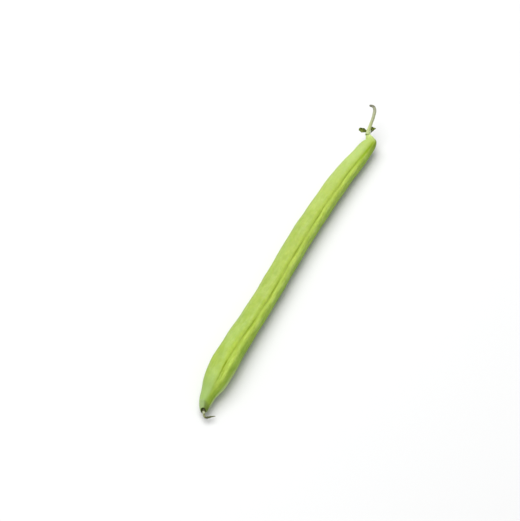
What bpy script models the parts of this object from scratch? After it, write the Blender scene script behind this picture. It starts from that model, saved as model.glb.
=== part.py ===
"""Green bean: one snap bean as picked, lying on a flat surface.

The pod lies along X with its stalk at +X and its tip at -X. Its calyx, stalk, two withered bracts
and dried style are pieces of their own. Metres, +Z up. The origin is on the resting surface, under
the middle of the whole bean's box.
"""
import math

import bmesh
import bpy
from mathutils import Matrix, Vector

MM = 0.001

# Driving dimensions, in millimetres unless a name says otherwise.
POD_LENGTH = 142.0
POD_HEIGHT_TO_WIDTH = 1.05       # the section is a little taller, seam to back, than it is wide
SEAM_RIDGE = 0.035               # height of the two ridges beside the seam, as a share of half-width
SEAM_GROOVE = 0.045              # depth of the seam between them, the same way
BACK_RIDGE = 0.015               # the faint rib along the back
BED = 0.15                       # how far the underside is pressed flat where it rests
CLEARANCE = 0.3                  # gap between neighbouring pieces

# The pod's shape: distance from the stalk end, half-width, sideways place of the centre line,
# height of the underside above the resting surface, and how far the seam is turned from straight
# up towards -Y, in degrees. The pod twists a little towards its tip.
POD_SHAPE = (
    (0.0, 0.76, -0.95, 5.22, 33.5),
    (1.2, 0.92, -1.35, 4.75, 33.5),
    (2.2, 1.78, -2.95, 3.50, 33.5),
    (3.4, 2.62, -3.70, 2.38, 33.5),
    (6.5, 3.22, -3.20, 1.50, 33.5),
    (12.0, 3.62, -2.45, 0.75, 33.5),
    (21.0, 4.15, -1.00, 0.08, 33.5),
    (34.0, 4.37, 0.04, 0.00, 33.5),
    (62.0, 4.46, 1.24, 0.00, 33.5),
    (90.0, 4.46, 1.09, 0.00, 33.4),
    (116.0, 4.80, 1.60, 0.00, 24.2),
    (124.0, 4.95, 1.55, 0.00, 23.5),
    (130.0, 4.50, 1.12, 0.10, 23.5),
    (136.0, 2.95, 0.95, 1.00, 23.5),
    (139.5, 2.30, 0.50, 1.40, 23.5),
    (141.3, 1.70, 0.25, 1.80, 23.5),
    (POD_LENGTH, 1.05, 0.20, 2.40, 23.5),
)
POD_RINGS = 52
POD_SIDES = 28

# The stalk: steps from the pod's stalk end, with the stalk's half-thickness there.
STALK_ROUTE = (
    ((1.45, 0.30, 0.75), 0.74),
    ((3.0, 0.32, 1.7), 0.66),
    ((4.4, 0.40, 2.7), 0.64),
    ((6.0, 0.50, 3.6), 0.66),
    ((8.0, 0.85, 4.4), 0.66),
    ((9.7, 1.60, 4.75), 0.64),
    ((10.5, 2.50, 4.70), 0.58),
    ((10.75, 3.40, 4.45), 0.52),
    ((10.7, 4.20, 4.28), 0.38),
)
# The dried style: steps from the pod's tip, with its half-thickness there.
STYLE_ROUTE = (
    ((-0.45, -0.50, -0.05), 0.46),
    ((-0.90, -0.70, -0.20), 0.40),
    ((-1.20, -1.15, -0.38), 0.29),
    ((-1.86, -1.72, -0.70), 0.27),
    ((-2.04, -2.48, -0.95), 0.26),
    ((-1.29, -3.09, -1.15), 0.24),
    ((-0.46, -3.84, -1.30), 0.22),
    ((0.34, -4.95, -1.40), 0.16),
)
ROUTE_STEPS = 4                  # curve points from one route point to the next

# The calyx: a small cup turned about the pod's neck, clear of it all round.
CALYX_INSIDE = 0.85 + CLEARANCE  # half-width of the neck, and the gap
CALYX_WALL = 0.26
CALYX_FLARE = 0.18               # how much wider the cup is at its rim, over the neck's shoulder
# distance along its axis from the pod's end, positive towards the stalk, and radius
CALYX_PROFILE = (
    (-0.85, CALYX_INSIDE + CALYX_FLARE + CALYX_WALL),
    (-0.30, CALYX_INSIDE + 0.75 * CALYX_WALL),
    (0.50, CALYX_INSIDE + 0.30 * CALYX_WALL),
    (1.05, 0.70 * CALYX_INSIDE),
    (1.15, 0.0),
    (0.45, 0.0),
    (0.40, 0.80 * CALYX_INSIDE),
    (0.05, CALYX_INSIDE - 0.05),
    (-0.90, CALYX_INSIDE + CALYX_FLARE),
)
CALYX_AXIS = (0.93, 0.29, 0.24)
CALYX_SIDES = 20

# Each bract: where it starts and ends, as steps from the pod's stalk end, and its width.
BRACT_THICKNESS = 0.36
BRACTS = {
    "bract_left": ((0.10, 1.65, 0.75), (-0.42, 4.10, 1.05), 1.80),
    "bract_right": ((1.25, -1.75, 0.15), (3.30, -1.95, 0.75), 1.90),
}
BRACT_POINTS = 14

COLOURS = {
    "pod": ((0.36, 0.56, 0.10), 0.42),
    "calyx": ((0.27, 0.40, 0.09), 0.60),
    "stalk": ((0.36, 0.40, 0.14), 0.60),
    "bract": ((0.08, 0.07, 0.02), 0.80),
    "style": ((0.12, 0.09, 0.03), 0.80),
}


def empty_the_file():
    for obj in list(bpy.data.objects):
        bpy.data.objects.remove(obj)


def new_collection(name):
    collection = bpy.data.collections.new(name)
    bpy.context.scene.collection.children.link(collection)
    return collection


def new_material(name):
    colour, roughness = COLOURS[name]
    material = bpy.data.materials.new(name)
    material.use_nodes = True
    shader = material.node_tree.nodes["Principled BSDF"]
    shader.inputs["Base Color"].default_value = (*colour, 1.0)
    shader.inputs["Roughness"].default_value = roughness
    shader.inputs["Metallic"].default_value = 0.0
    return material


def add_object(name, data, collection, material=None):
    obj = bpy.data.objects.new(name, data)
    if material:
        data.materials.append(material)
    collection.objects.link(obj)
    return obj


def slopes(places, values):
    """A slope at each place, level at every peak and dip, so the curve never overshoots."""
    rises = [(b - a) / (q - p) for p, q, a, b in zip(places, places[1:], values, values[1:])]
    inner = [0.0 if a * b <= 0 else 2 * a * b / (a + b) for a, b in zip(rises, rises[1:])]
    return [rises[0], *inner, rises[-1]]


def smooth(table, column, place):
    """The value of one of the table's columns at a place between its rows."""
    places = [row[0] for row in table]
    values = [row[column] for row in table]
    tangents = slopes(places, values)
    last = len(places) - 2
    i = min(max(sum(p <= place for p in places) - 1, 0), last)
    step = places[i + 1] - places[i]
    t = (place - places[i]) / step
    bend_in = t * t * (3 - 2 * t)
    return (
        values[i] * (1 - bend_in)
        + values[i + 1] * bend_in
        + step * t * (1 - t) * (tangents[i] * (1 - t) - tangents[i + 1] * t)
    )


def bump(angle, centre, spread):
    """A smooth hump around the section, 1 at its centre; angles in degrees."""
    away = (angle - centre + 180) % 360 - 180
    return math.exp(-((away / spread) ** 2))


def pod_section(roll_degrees):
    """The pod's outline for a half-width of 1, as (across, up) points, with the seam turned."""
    points = []
    for i in range(POD_SIDES):
        turn = i / POD_SIDES
        # more points near the seam, at angle 0, where the outline changes fastest
        angle = 360 * turn - 22 * math.sin(2 * math.pi * turn)
        relief = (
            SEAM_RIDGE * (bump(angle, 15, 8) + bump(angle, -15, 8))
            - SEAM_GROOVE * bump(angle, 0, 6)
            + BACK_RIDGE * bump(angle, 180, 9)
        )
        across = (1 + relief) * math.sin(math.radians(angle))
        up = (1 + relief) * math.cos(math.radians(angle)) * POD_HEIGHT_TO_WIDTH
        roll = math.radians(roll_degrees)
        points.append((
            across * math.cos(roll) - up * math.sin(roll),
            across * math.sin(roll) + up * math.cos(roll),
        ))
    return points


def pod_centre(along):
    """The centre line at a distance from the stalk end, in metres; +X is towards the stalk."""
    drop = -min(up for _, up in pod_section(smooth(POD_SHAPE, 4, along)))
    half_width = smooth(POD_SHAPE, 1, along)
    underside = smooth(POD_SHAPE, 3, along)
    height = underside + half_width * drop - BED
    return Vector((-along, smooth(POD_SHAPE, 2, along), height)) * MM


def poly_curve(name, points, half_widths, closed=False, turns=None):
    curve = bpy.data.curves.new(name, "CURVE")
    curve.dimensions = "3D"
    spline = curve.splines.new("POLY")
    spline.points.add(len(points) - 1)
    turns = turns or [0.0] * len(points)
    for spot, place, half_width, turn in zip(spline.points, points, half_widths, turns):
        spot.co = (*place, 1.0)
        spot.radius = half_width
        spot.tilt = -math.radians(turn)
    spline.use_cyclic_u = closed
    return curve


def curve_to_mesh(obj, collection):
    """A mesh object in the curve's place, with its end caps welded on."""
    depsgraph = bpy.context.evaluated_depsgraph_get()
    mesh = bpy.data.meshes.new_from_object(obj.evaluated_get(depsgraph))
    mesh.name = obj.name
    solid = bmesh.new()
    solid.from_mesh(mesh)
    bmesh.ops.remove_doubles(solid, verts=solid.verts, dist=0.001 * MM)
    solid.to_mesh(mesh)
    solid.free()
    name = obj.name
    place = obj.matrix_world.copy()
    bpy.data.objects.remove(obj)
    made = bpy.data.objects.new(name, mesh)
    made.matrix_world = place
    collection.objects.link(made)
    return made


def shade(mesh, sharp_degrees):
    mesh.shade_smooth()
    mesh.set_sharp_from_angle(angle=math.radians(sharp_degrees))


def make_pod(parts, guides):
    section = pod_section(0.0)
    outline = poly_curve("pod_section", [(a, u, 0.0) for a, u in section], [1.0] * POD_SIDES, True)
    outline.dimensions = "2D"
    outline.fill_mode = "NONE"
    guide = add_object("pod_section", outline, guides)
    guide.hide_render = True
    guide.display_type = "WIRE"

    stations = []
    for i in range(POD_RINGS + 1):
        t = i / POD_RINGS
        # rings lie closer together towards both ends
        stations.append(POD_LENGTH * (t - 0.12 * math.sin(2 * math.pi * t)))
    centres = [pod_centre(along) for along in stations]
    half_widths = [smooth(POD_SHAPE, 1, along) * MM for along in stations]
    turns = [smooth(POD_SHAPE, 4, along) for along in stations]
    curve = poly_curve("pod", centres, half_widths, turns=turns)
    curve.twist_mode = "Z_UP"
    curve.bevel_mode = "OBJECT"
    curve.bevel_object = guide
    curve.use_fill_caps = True
    pod = curve_to_mesh(add_object("pod", curve, parts), parts)
    pod.data.materials.append(new_material("pod"))

    bpy.ops.mesh.primitive_cube_add(size=1.0)
    below = bpy.context.object
    below.name = "below_surface"
    below.data.transform(
        Matrix.Translation((-POD_LENGTH * MM / 2, 0.0, -5 * MM))
        @ Matrix.Diagonal((POD_LENGTH * 1.2 * MM, 30 * MM, 10 * MM, 1.0))
    )
    for holder in below.users_collection:
        holder.objects.unlink(below)
    guides.objects.link(below)
    below.hide_render = True
    below.display_type = "WIRE"
    cut = pod.modifiers.new("flat_bed", "BOOLEAN")
    cut.operation = "DIFFERENCE"
    cut.solver = "EXACT"
    cut.object = below
    shade(pod.data, 40)
    return pod


def route_points(route, start):
    """Points on a smooth curve through a route, with half-thicknesses, in metres."""
    places = [Vector(step) for step, _ in route]
    sizes = [size for _, size in route]
    reach = [0.0]
    for a, b in zip(places, places[1:]):
        reach.append(reach[-1] + (b - a).length)
    table = [(r, *p, s) for r, p, s in zip(reach, places, sizes)]
    points, half_widths = [], []
    for i in range(len(route) - 1):
        for k in range(ROUTE_STEPS):
            at = reach[i] + (reach[i + 1] - reach[i]) * k / ROUTE_STEPS
            points.append(start + Vector([smooth(table, c, at) for c in (1, 2, 3)]) * MM)
            half_widths.append(smooth(table, 4, at) * MM)
    points.append(start + places[-1] * MM)
    half_widths.append(sizes[-1] * MM)
    return points, half_widths


def make_strand(name, route, start, parts):
    """A thin round piece along a route, with a half-thickness of its own at each point."""
    points, half_widths = route_points(route, start)
    curve = poly_curve(name, points, half_widths)
    curve.bevel_mode = "ROUND"
    curve.bevel_depth = 1.0
    curve.bevel_resolution = 3
    curve.use_fill_caps = True
    strand = curve_to_mesh(add_object(name, curve, parts), parts)
    strand.data.materials.append(new_material(name))
    shade(strand.data, 50)
    return strand


def make_calyx(parts):
    mesh = bpy.data.meshes.new("calyx")
    outline = bmesh.new()
    corners = [outline.verts.new((radius * MM, 0.0, along * MM)) for along, radius in CALYX_PROFILE]
    for a, b in zip(corners, corners[1:] + corners[:1]):
        outline.edges.new((a, b))
    outline.to_mesh(mesh)
    outline.free()
    calyx = add_object("calyx", mesh, parts, new_material("calyx"))
    turn = calyx.modifiers.new("turned", "SCREW")
    turn.axis = "Z"
    turn.steps = CALYX_SIDES
    turn.render_steps = CALYX_SIDES
    turn.use_merge_vertices = True
    turn.merge_threshold = 0.00001
    turn.use_normal_calculate = True
    calyx.matrix_world = (
        Matrix.Translation(pod_centre(0.0)) @ Vector(CALYX_AXIS).to_track_quat("Z", "Y").to_matrix().to_4x4()
    )
    return calyx


def make_bract(name, start, end, width, parts):
    """A small withered leaf: a pointed flat outline with a thickness."""
    length = (Vector(end) - Vector(start)).length
    edge = []
    for i in range(BRACT_POINTS + 1):
        t = i / BRACT_POINTS
        edge.append((length * t * MM, width / 2 * math.sin(math.pi * t ** 0.8) ** 0.7 * MM, 0.0))
    outline = edge + [(x, -y, 0.0) for x, y, _ in edge[-2:0:-1]]
    curve = poly_curve(name, outline, [1.0] * len(outline), True)
    curve.dimensions = "2D"
    curve.fill_mode = "BOTH"
    curve.extrude = BRACT_THICKNESS / 2 * MM
    bract = add_object(name, curve, parts)
    direction = Vector(end) - Vector(start)
    bract.matrix_world = (
        Matrix.Translation(pod_centre(0.0) + Vector(start) * MM)
        @ direction.to_track_quat("X", "Z").to_matrix().to_4x4()
    )
    bpy.context.view_layer.update()
    bract = curve_to_mesh(bract, parts)
    bract.data.materials.append(bpy.data.materials.get("bract") or new_material("bract"))
    return bract


def put_on_origin(parts):
    """Moves every piece so that the middle of the whole box is over the origin."""
    depsgraph = bpy.context.evaluated_depsgraph_get()
    spots = []
    for obj in parts.objects:
        shape = obj.evaluated_get(depsgraph)
        spots += [shape.matrix_world @ v.co for v in shape.data.vertices]
    middle_x = (min(s.x for s in spots) + max(s.x for s in spots)) / 2
    middle_y = (min(s.y for s in spots) + max(s.y for s in spots)) / 2
    shift = Matrix.Translation((-middle_x, -middle_y, 0.0))
    for obj in bpy.data.objects:
        obj.matrix_world = shift @ obj.matrix_world


def main():
    empty_the_file()
    parts = new_collection("green_bean")
    guides = new_collection("cutters")
    make_pod(parts, guides)
    make_calyx(parts)
    make_strand("stalk", STALK_ROUTE, pod_centre(0.0), parts)
    make_strand("style", STYLE_ROUTE, pod_centre(POD_LENGTH), parts)
    for name, (start, end, width) in BRACTS.items():
        make_bract(name, start, end, width, parts)
    bpy.context.view_layer.update()
    put_on_origin(parts)


main()
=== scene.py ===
# %% [markdown]
# # A green bean on a pale table
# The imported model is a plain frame: a pod, its calyx, its stalk, two withered bracts and the dried
# style at the tip. This lesson rebuilds each of them in Blender with the shape and the skin that a
# real bean has, over the frame and at its size. Nothing is moved: every place is read from the frame.

# %% Load the frame
import math

import bmesh
import bpy
from mathutils import Matrix, Vector, noise


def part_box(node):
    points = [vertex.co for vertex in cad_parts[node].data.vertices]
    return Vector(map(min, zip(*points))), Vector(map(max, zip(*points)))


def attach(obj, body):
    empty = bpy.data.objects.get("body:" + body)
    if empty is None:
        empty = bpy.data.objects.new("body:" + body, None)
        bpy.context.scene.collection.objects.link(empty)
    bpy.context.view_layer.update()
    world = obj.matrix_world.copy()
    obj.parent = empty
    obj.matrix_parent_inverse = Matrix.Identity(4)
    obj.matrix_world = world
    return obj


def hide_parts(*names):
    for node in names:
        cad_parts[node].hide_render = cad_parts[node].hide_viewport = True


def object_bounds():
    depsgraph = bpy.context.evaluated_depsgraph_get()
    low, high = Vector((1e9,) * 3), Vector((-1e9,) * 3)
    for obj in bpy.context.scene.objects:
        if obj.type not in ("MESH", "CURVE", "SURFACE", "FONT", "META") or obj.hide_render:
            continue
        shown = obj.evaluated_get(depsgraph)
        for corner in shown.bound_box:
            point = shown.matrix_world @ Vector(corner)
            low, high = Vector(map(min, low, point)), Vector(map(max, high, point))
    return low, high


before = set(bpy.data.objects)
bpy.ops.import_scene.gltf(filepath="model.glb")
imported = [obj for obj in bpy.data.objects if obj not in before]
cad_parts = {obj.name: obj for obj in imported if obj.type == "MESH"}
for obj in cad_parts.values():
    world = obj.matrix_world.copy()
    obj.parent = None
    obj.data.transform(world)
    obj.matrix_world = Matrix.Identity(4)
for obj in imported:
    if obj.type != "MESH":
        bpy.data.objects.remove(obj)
cad_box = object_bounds()

MM = 0.001
low, high = cad_box
print("the bean measures", [round((b - a) / MM, 1) for a, b in zip(low, high)], "mm")

# %% [markdown]
# ## The table, the light and the camera
# A soft studio: one white sweep under the bean, a wide soft light behind it on the left, a weaker
# one above, and a pale room all round that fills the shadows. These come first, because every later
# choice of colour or gloss depends on the light that it is seen in. The table could be a curved
# backdrop, but a plane is enough, as long as its edges lie so far off that they never show.

# %% The pale table
def pick_nothing():
    """Operators act on whatever is selected, so each step starts with nothing selected."""
    if bpy.context.mode != "OBJECT":
        bpy.ops.object.mode_set(mode="OBJECT")
    bpy.ops.object.select_all(action="DESELECT")


def named(name):
    """Gives the object that was just added its name, and its mesh the same one."""
    obj = bpy.context.object
    obj.name = name
    obj.data.name = name
    return obj


TABLE_SIZE = 6.0
pick_nothing()
bpy.ops.mesh.primitive_plane_add(size=TABLE_SIZE, location=(0, 0, 0))
table = named("table")
print("the table is", TABLE_SIZE, "m wide")

# %% [markdown]
# A material is a recipe of nodes, and a few helpers keep the recipes short: one feeds an input, one
# adds a node with its settings, and one makes a smooth change from one value to another. The white
# of the table has almost no texture, so it only gets a faint unevenness in its roughness.

# %% The table's white
def new_material(name):
    """A material with only its shader and output, ready for more nodes."""
    material = bpy.data.materials.new(name)
    material.use_nodes = True
    return material, material.node_tree, material.node_tree.nodes["Principled BSDF"]


def feed(socket, value):
    """Links another node's output to an input, or sets the input to a number or colour."""
    if isinstance(value, bpy.types.NodeSocket):
        socket.id_data.links.new(value, socket)
    else:
        socket.default_value = value


def node(tree, kind, settings=None, **inputs):
    """Adds a node. Settings are its own properties, and inputs are its sockets, by name."""
    made = tree.nodes.new(kind)
    for key, value in (settings or {}).items():
        setattr(made, key, value)
    for key, value in inputs.items():
        feed(made.inputs[key.replace("_", " ")], value)
    return made


def fade(value, start, end, low_value=0.0, high_value=1.0, curve="SMOOTHSTEP"):
    """A change from low_value at start to high_value at end, smooth or LINEAR."""
    made = node(value.id_data, "ShaderNodeMapRange", {"interpolation_type": curve}, Value=value,
                From_Min=start, From_Max=end, To_Min=low_value, To_Max=high_value)
    return made.outputs["Result"]


def rgb(red, green, blue):
    """An opaque colour, in linear light."""
    return (red, green, blue, 1.0)


table_white, tree, shader = new_material("table_white")
shader.inputs["Base Color"].default_value = rgb(0.745, 0.745, 0.74)
place = node(tree, "ShaderNodeTexCoord").outputs["Object"]
cloud = node(tree, "ShaderNodeTexNoise", Vector=place, Scale=9.0, Detail=3.0)
feed(shader.inputs["Roughness"], fade(cloud.outputs["Fac"], 0.3, 0.7, 0.62, 0.72))
shader.inputs["Specular IOR Level"].default_value = 0.2
table.data.materials.append(table_white)
print("the table's white takes", len(tree.nodes), "nodes")

# %% [markdown]
# Two rectangular lamps give the light. A lamp's size decides how soft its shadow is, so the main one
# is a metre wide, as a window is, and throws a soft shadow to the right. A sun or a point lamp would
# cut a hard one. The room's own light fills what the lamps leave.

# %% Soft light
def soft_light(name, size, place, watts):
    """A rectangular lamp that faces the bean's middle."""
    pick_nothing()
    bpy.ops.object.light_add(type="AREA", location=place)
    lamp = named(name)
    lamp.data.shape = "RECTANGLE"
    lamp.data.size, lamp.data.size_y = size
    lamp.data.energy = watts
    lamp.rotation_euler = (-Vector(place)).to_track_quat("-Z", "Y").to_euler()
    print(name, "gives", watts, "W")


soft_light("window_light", size=(1.0, 0.8), place=(0.16, 0.30, 0.87), watts=9.9)
soft_light("top_light", size=(0.7, 0.7), place=(-0.30, -0.05, 0.95), watts=1.2)

ROOM_COLOUR, ROOM_LIGHT = rgb(0.97, 0.98, 1.0), 0.48
room = bpy.data.worlds.new("room")
room.use_nodes = True
room.node_tree.nodes["Background"].inputs["Color"].default_value = ROOM_COLOUR
room.node_tree.nodes["Background"].inputs["Strength"].default_value = ROOM_LIGHT
bpy.context.scene.world = room
bpy.context.scene.view_settings.view_transform = "Standard"

# %% [markdown]
# The camera looks steeply down along the bean from its tip, so the pod runs away to the upper right.
# It could be placed by its coordinates. An azimuth, a height above the horizon and a distance are
# easier to judge, because they are what a person changes who walks round a table.

# %% The camera
CAMERA_AZIMUTH = math.radians(-63.36)
CAMERA_HEIGHT = math.radians(55)
CAMERA_DISTANCE = 470.4 * MM
CAMERA_LENS, SENSOR_WIDTH = 85, 36
AIM = Vector((-9.89, 10.37, 5.0)) * MM

back = Vector((
    math.sin(CAMERA_AZIMUTH) * math.cos(CAMERA_HEIGHT),
    -math.cos(CAMERA_AZIMUTH) * math.cos(CAMERA_HEIGHT),
    math.sin(CAMERA_HEIGHT),
))
pick_nothing()
bpy.ops.object.camera_add(location=AIM + back * CAMERA_DISTANCE)
camera = bpy.context.object
camera.data.lens = CAMERA_LENS
camera.data.sensor_width = SENSOR_WIDTH
camera.rotation_euler = (-back).to_track_quat("-Z", "Y").to_euler()
bpy.context.scene.camera = camera
print("the camera stands", [round(c / MM) for c in camera.location], "mm from the bean's middle")

# %% [markdown]
# ## The pod
# A snap bean's pod is a long tube, a little taller from seam to back than it is wide, with a blunt
# shoulder at the stalk and a tapering beak. It could be a swept curve, but the two ends change shape
# too quickly for that. Here it is drawn as rings instead: one circle is added at the stalk end, and
# then extruded, moved and resized ring by ring. The place and size of every ring is measured from
# the frame's own pod, so the new skin lies where the frame's solid does.

# %% Measure the frame's pod in slices
def slice_box(name, x):
    """The lowest and highest (y, z) where a frame piece crosses the plane at x."""
    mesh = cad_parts[name].data
    corners = [v.co for v in mesh.vertices]
    cut = []
    for edge in mesh.edges:
        a, b = corners[edge.vertices[0]], corners[edge.vertices[1]]
        if (a.x - x) * (b.x - x) < 0:
            cut.append(a.lerp(b, (x - a.x) / (b.x - a.x)))
    return (
        (min(c.y for c in cut), min(c.z for c in cut)),
        (max(c.y for c in cut), max(c.z for c in cut)),
    )


pod_low, pod_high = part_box("pod")
POD_RINGS = 68
END_MARGIN = 0.25 * MM
END_CROWDING = 0.13


def ring_places():
    """Ring places from the stalk end to the tip, closer together at both ends."""
    first, last = pod_high.x - END_MARGIN, pod_low.x + END_MARGIN
    for i in range(POD_RINGS + 1):
        t = i / POD_RINGS
        t = t - END_CROWDING * math.sin(2 * math.pi * t)
        yield first + (last - first) * t


rings = [(x, *slice_box("pod", x)) for x in ring_places()]
print(len(rings), "rings, the widest", round(max(b[0] - a[0] for _, a, b in rings) / MM, 2), "mm")

# %% [markdown]
# The first ring is a circle, a twentieth taller than it is wide, since the seeds hang from the seam
# in a row. The seam isn't on top: the bean lies a little on its side, so the ring is turned towards
# -Y by the seam's roll. Every later ring inherits that turn; the pod's slight twist comes later.

# %% The first ring
POD_SIDES = 72
SEAM_ROLL = math.radians(33.5)
SECTION_HEIGHT = 1.05

pick_nothing()
first_x = rings[0][0]
bpy.ops.mesh.primitive_circle_add(
    vertices=POD_SIDES, radius=1.0, location=(first_x, 0, 0), rotation=(0, math.radians(90), 0)
)
bpy.ops.object.transform_apply(location=True, rotation=True, scale=True)
pod = named("bean_pod")
bpy.ops.object.mode_set(mode="EDIT")
bpy.ops.mesh.select_all(action="SELECT")
bpy.ops.transform.resize(value=(1, 1, SECTION_HEIGHT), center_override=(first_x, 0, 0))
# transform.rotate turns the other way with no window, so the angle is given as it must come out
bpy.ops.transform.rotate(value=-SEAM_ROLL, orient_axis="X", center_override=(first_x, 0, 0))
bpy.ops.object.mode_set(mode="OBJECT")
top_point = max((v.co for v in pod.data.vertices), key=lambda c: c.z)
print("the top of the turned ring:", [round(c, 3) for c in top_point])

# %% [markdown]
# The ring is now drawn out along the bean. Each step extrudes the last ring, moves it to its next
# place and resizes it to the frame's slice there. Catmull-Clark subdivision will smooth the skin
# afterwards, so the cage only needs rings where the shape turns, which is why they crowd at both
# ends. A snap bean is picked young, so its seeds barely show: the sides swell by a fiftieth.

# %% Draw the ring out along the bean
SEED_FIRST, SEED_LAST, SEEDS = 50.0 * MM, -56.0 * MM, 9
SEED_SWELL = 0.020


def seed_swell(x):
    """How much wider the pod is at x because of the seeds inside."""
    step = (SEED_FIRST - SEED_LAST) / (SEEDS - 1)
    fading = min(1.0, max(0.0, (SEED_FIRST + step - x) / step), max(0.0, (x - SEED_LAST + step) / step))
    return SEED_SWELL * fading * math.cos(2 * math.pi * (SEED_FIRST - x) / step)


def mesh_box(mesh):
    """The lowest and highest corner of a mesh's points."""
    corners = [v.co for v in mesh.vertices]
    return (
        Vector([min(c[i] for c in corners) for i in range(3)]),
        Vector([max(c[i] for c in corners) for i in range(3)]),
    )


def pick_only(obj):
    """Leaves one object selected, and makes it the active one."""
    pick_nothing()
    obj.select_set(True)
    bpy.context.view_layer.objects.active = obj


def next_ring(step, scale, middle):
    """Extrudes the selected ring by a step and resizes it about its new middle."""
    bpy.ops.mesh.extrude_region_move(TRANSFORM_OT_translate={"value": step})
    bpy.ops.transform.resize(value=scale, center_override=middle)


ring_low, ring_high = mesh_box(pod.data)
pick_only(pod)
bpy.ops.object.mode_set(mode="EDIT")
bpy.ops.mesh.select_all(action="SELECT")
middle = (ring_low + ring_high) / 2
size = ring_high - ring_low
for i, (x, ring_a, ring_b) in enumerate(rings):
    new_middle = Vector((x, (ring_a[0] + ring_b[0]) / 2, (ring_a[1] + ring_b[1]) / 2))
    new_size = Vector((1, (ring_b[0] - ring_a[0]) * (1 + seed_swell(x)), ring_b[1] - ring_a[1]))
    scale = (1, new_size.y / size.y, new_size.z / size.z)
    if i == 0:
        bpy.ops.transform.translate(value=new_middle - middle)
        bpy.ops.transform.resize(value=scale, center_override=new_middle)
    else:
        next_ring(new_middle - middle, scale, new_middle)
    middle, size = new_middle, new_size
bpy.ops.object.mode_set(mode="OBJECT")
print(len(pod.data.polygons), "faces from the neck to the tip")

# %% [markdown]
# Both ends are still open. The neck is closed a little way inside the calyx, where the stalk's
# fibres would run into it. The tip broke off its flower, so it ends in a rim round a small hollow:
# the ring is drawn out a little for the rim and then back in, to a point at the hollow's bottom.

# %% Close the two ends
# how far each new ring lies along X from the last one, in mm, and its size beside it
NECK_STEPS = ((0.10, 0.88), (0.06, 0.5))
TIP_STEPS = ((-0.16, 0.94), (-0.04, 0.86), (0.20, 0.78), (0.34, 0.40))
AT_THE_END = 0.1 * MM


def close_end(obj, x, steps):
    """Draws the open ring at x inwards by (step, scale) pairs and merges it to one point."""
    pick_only(obj)
    bpy.ops.object.mode_set(mode="EDIT")
    bpy.ops.mesh.select_all(action="DESELECT")
    bpy.ops.mesh.select_mode(type="EDGE")
    bpy.ops.mesh.select_non_manifold()
    shape = bmesh.from_edit_mesh(obj.data)
    for edge in shape.edges:
        if edge.select and abs(edge.verts[0].co.x - x) > AT_THE_END:
            edge.select = False
    shape.select_flush(False)
    bmesh.update_edit_mesh(obj.data)
    for step, scale in steps:
        bpy.ops.mesh.extrude_region_move(TRANSFORM_OT_translate={"value": (step * MM, 0, 0)})
        bpy.ops.transform.resize(value=(1, scale, scale))
    bpy.ops.mesh.extrude_region_move(TRANSFORM_OT_translate={"value": (0, 0, 0)})
    bpy.ops.mesh.merge(type="CENTER")
    bpy.ops.mesh.select_mode(type="VERT")
    bpy.ops.object.mode_set(mode="OBJECT")


close_end(pod, rings[0][0], NECK_STEPS)
close_end(pod, rings[-1][0], TIP_STEPS)
print("the cage spans", [[round(c / MM, 2) for c in corner] for corner in mesh_box(pod.data)])

# %% [markdown]
# The rings were drawn now one way along X and now the other, so some faces may look inwards. Blender
# can find the outside of any closed shell by itself. Points that lie on each other are merged first,
# because a shell that is open somewhere has no outside.

# %% Turn the faces outwards
SAME_POINT = 0.0005 * MM


def turn_faces_out(obj):
    """Merges doubled points and makes every face point outwards."""
    pick_only(obj)
    bpy.ops.object.mode_set(mode="EDIT")
    bpy.ops.mesh.select_all(action="SELECT")
    bpy.ops.mesh.remove_doubles(threshold=SAME_POINT)
    bpy.ops.mesh.normals_make_consistent(inside=False)
    bpy.ops.object.mode_set(mode="OBJECT")


turn_faces_out(pod)
print("the closed cage has", len(pod.data.vertices), "points")

# %% [markdown]
# The skin's colours follow the seam, so every point of the cage keeps a few numbers. Three of them
# say how far it is round the pod from the seam on the sides (`side`) and over the top (`top`), and
# how far along the pod (`along`). A material could work them out from a point's place, but this seam
# wanders and twists, and a number that is kept in the mesh goes with it. They are smooth numbers with
# no jump, and subdivision carries them to the fine mesh.

# %% Mark the places round and along the pod
def new_attribute(mesh, name, values):
    """Stores one number per point."""
    mesh.attributes.new(name, "FLOAT", "POINT").data.foreach_set("value", values)


def ring_middle(x):
    """The middle of the pod's section at x, between the measured rings."""
    for (x0, a0, b0), (x1, a1, b1) in zip(rings, rings[1:]):
        if x1 <= x <= x0:
            part = (x0 - x) / (x0 - x1)
            return Vector((
                x,
                ((a0[0] + b0[0]) * (1 - part) + (a1[0] + b1[0]) * part) / 2,
                ((a0[1] + b0[1]) * (1 - part) + (a1[1] + b1[1]) * part) / 2,
            ))
    _, a, b = rings[0] if x > rings[0][0] else rings[-1]
    return Vector((x, (a[0] + b[0]) / 2, (a[1] + b[1]) / 2))


def ramp(value, start, end):
    """0 at start, 1 at end, and smooth between them; start may be the larger of the two."""
    part = min(1.0, max(0.0, (value - start) / (end - start)))
    return part * part * (3 - 2 * part)


def ring_angle(co, middle):
    """The angle of a point round the ring, from straight up towards -Y."""
    return math.atan2(-(co.y - middle.y), co.z - middle.z)


def wander(x, wavelength, row):
    """Smooth noise along the bean, from -1 to 1; each row gives another line of it."""
    return noise.noise(Vector((x / wavelength, row, 0)))


SLOW_WANDER, QUICK_WANDER = math.radians(3.0), math.radians(2.6)
# towards the tip the pod twists, and brings its seam nearly on top
SEAM_TWIST, TWIST_START, TWIST_END = math.radians(10), 0.66, 0.86

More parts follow.
